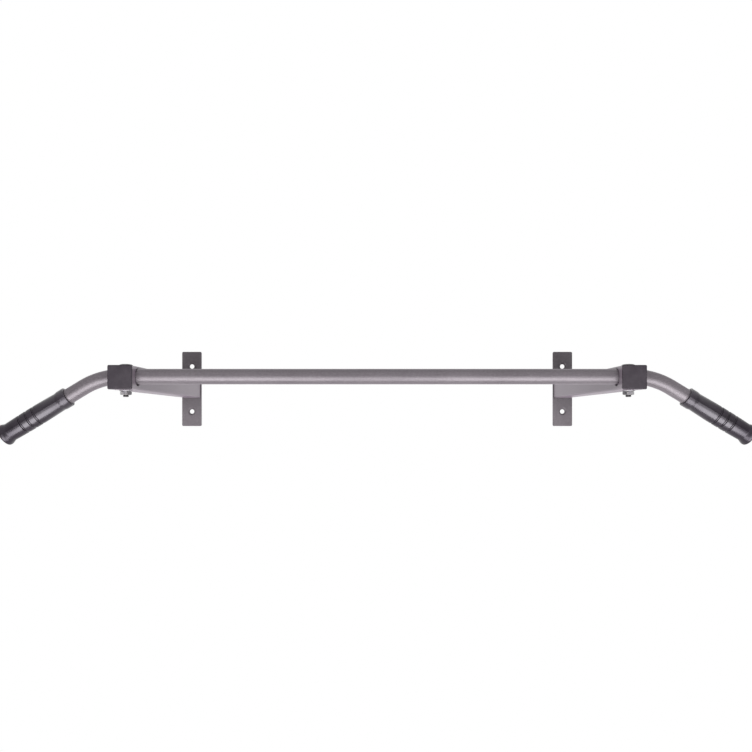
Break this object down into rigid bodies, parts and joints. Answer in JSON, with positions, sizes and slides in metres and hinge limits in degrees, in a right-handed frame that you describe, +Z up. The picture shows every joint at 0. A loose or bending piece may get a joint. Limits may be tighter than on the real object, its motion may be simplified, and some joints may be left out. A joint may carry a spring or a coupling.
{
  "type": "wall-mounted pull-up bar",
  "caption": "Bent round pull-up bar with drooping rubber-gripped handles, bolted through two square arms on upright wall plates.",
  "frame": {"origin": "on the wall, midway between the two wall plates, at the height of the arms' centre lines", "axes": "+X along the bar, +Y into the wall, +Z up"},
  "size_m": [1.2716, 0.4931, 0.1965],
  "materials": {
    "painted_steel": "satin grey paint, slightly metallic",
    "cap_plastic": "matt moulded plastic",
    "grip_rubber": "smooth moulded rubber",
    "zinc": "zinc plated",
    "blackened_steel": "blackened steel"
  },
  "bodies": {
    "root": {"main_bar": "painted_steel", "left_arm": "painted_steel", "left_wall_plate": "painted_steel", "left_plate_weld": "painted_steel", "left_end_cap": "cap_plastic", "left_grip": "grip_rubber", "left_bolt": "blackened_steel", "left_washer": "zinc", "left_nut": "zinc", "right_arm": "painted_steel", "right_wall_plate": "painted_steel", "right_plate_weld": "painted_steel", "right_end_cap": "cap_plastic", "right_grip": "grip_rubber", "right_bolt": "blackened_steel", "right_washer": "zinc", "right_nut": "zinc"}
  },
  "joints": []
}
